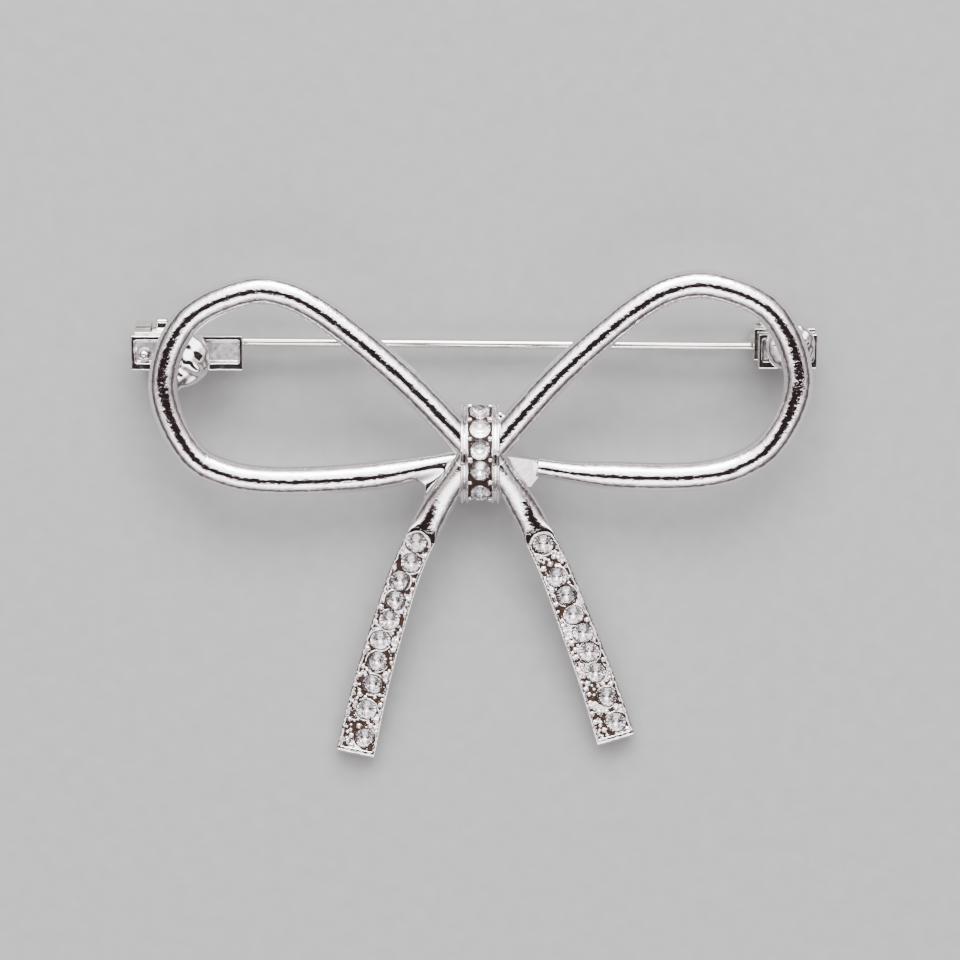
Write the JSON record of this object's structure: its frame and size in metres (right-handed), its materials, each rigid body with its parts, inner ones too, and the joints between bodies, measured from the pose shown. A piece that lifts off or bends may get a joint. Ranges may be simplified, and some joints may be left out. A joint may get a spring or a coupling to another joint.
{
  "type": "bow brooch",
  "caption": "Bow brooch of polished wire loops and stone-set tails around a stone-set knot, with a hinged pin and rolling safety catch behind.",
  "frame": {"origin": "on the plane the brooch lies on, under the middle of its outline", "axes": "+X from the catch side to the hinge side of the face, +Y up the face from the tail tips to the loops, +Z away from the plane it lies on, out of the face; the bow leans ten degrees off that plane because it stands on its catch, hinge and tail tips"},
  "size_m": [0.0522, 0.0376, 0.008],
  "materials": {
    "cast_plate": "polished rhodium-colour plate over casting, with a faint orange peel",
    "finding_plate": "polished plate on stamped and turned findings, slightly warm",
    "pin_wire": "bright drawn wire with a ground point",
    "crystal": "clear foil-backed crystal, faceted"
  },
  "bodies": {
    "bow": {"left_loop": "cast_plate", "right_loop": "cast_plate", "left_tail": "cast_plate", "right_tail": "cast_plate", "knot": "cast_plate", "left_pad": "cast_plate", "right_pad": "cast_plate", "catch_base": "cast_plate", "hinge_base": "cast_plate", "left_tail_stone_1": "crystal", "left_tail_stone_2": "crystal", "left_tail_stone_3": "crystal", "left_tail_stone_4": "crystal", "left_tail_stone_5": "crystal", "left_tail_stone_6": "crystal", "left_tail_stone_7": "crystal", "left_tail_stone_8": "crystal", "left_tail_stone_9": "crystal", "left_tail_stone_10": "crystal", "right_tail_stone_1": "crystal", "right_tail_stone_2": "crystal", "right_tail_stone_3": "crystal", "right_tail_stone_4": "crystal", "right_tail_stone_5": "crystal", "right_tail_stone_6": "crystal", "right_tail_stone_7": "crystal", "right_tail_stone_8": "crystal", "right_tail_stone_9": "crystal", "knot_stone_1": "crystal", "knot_stone_2": "crystal", "knot_stone_3": "crystal", "knot_stone_4": "crystal", "knot_stone_5": "crystal", "catch_body": "finding_plate", "hinge_bracket": "finding_plate", "hinge_rivet": "finding_plate"},
    "catch_rotor": {"catch_roller": "finding_plate"},
    "pin": {"pin_stem": "pin_wire"}
  },
  "joints": [
    {"name": "pin_hinge", "type": "hinge", "parent": "bow", "child": "pin", "pos_m": [0.02226, 0.01366, 0.00109], "axis": [0, -0.9861, -0.1661], "range_deg": [0, 85]},
    {"name": "catch_turn", "type": "hinge", "parent": "bow", "child": "catch_rotor", "pos_m": [-0.02403, 0.01351, 0.00178], "axis": [-1, 0, 0], "range_deg": [0, 75]}
  ]
}
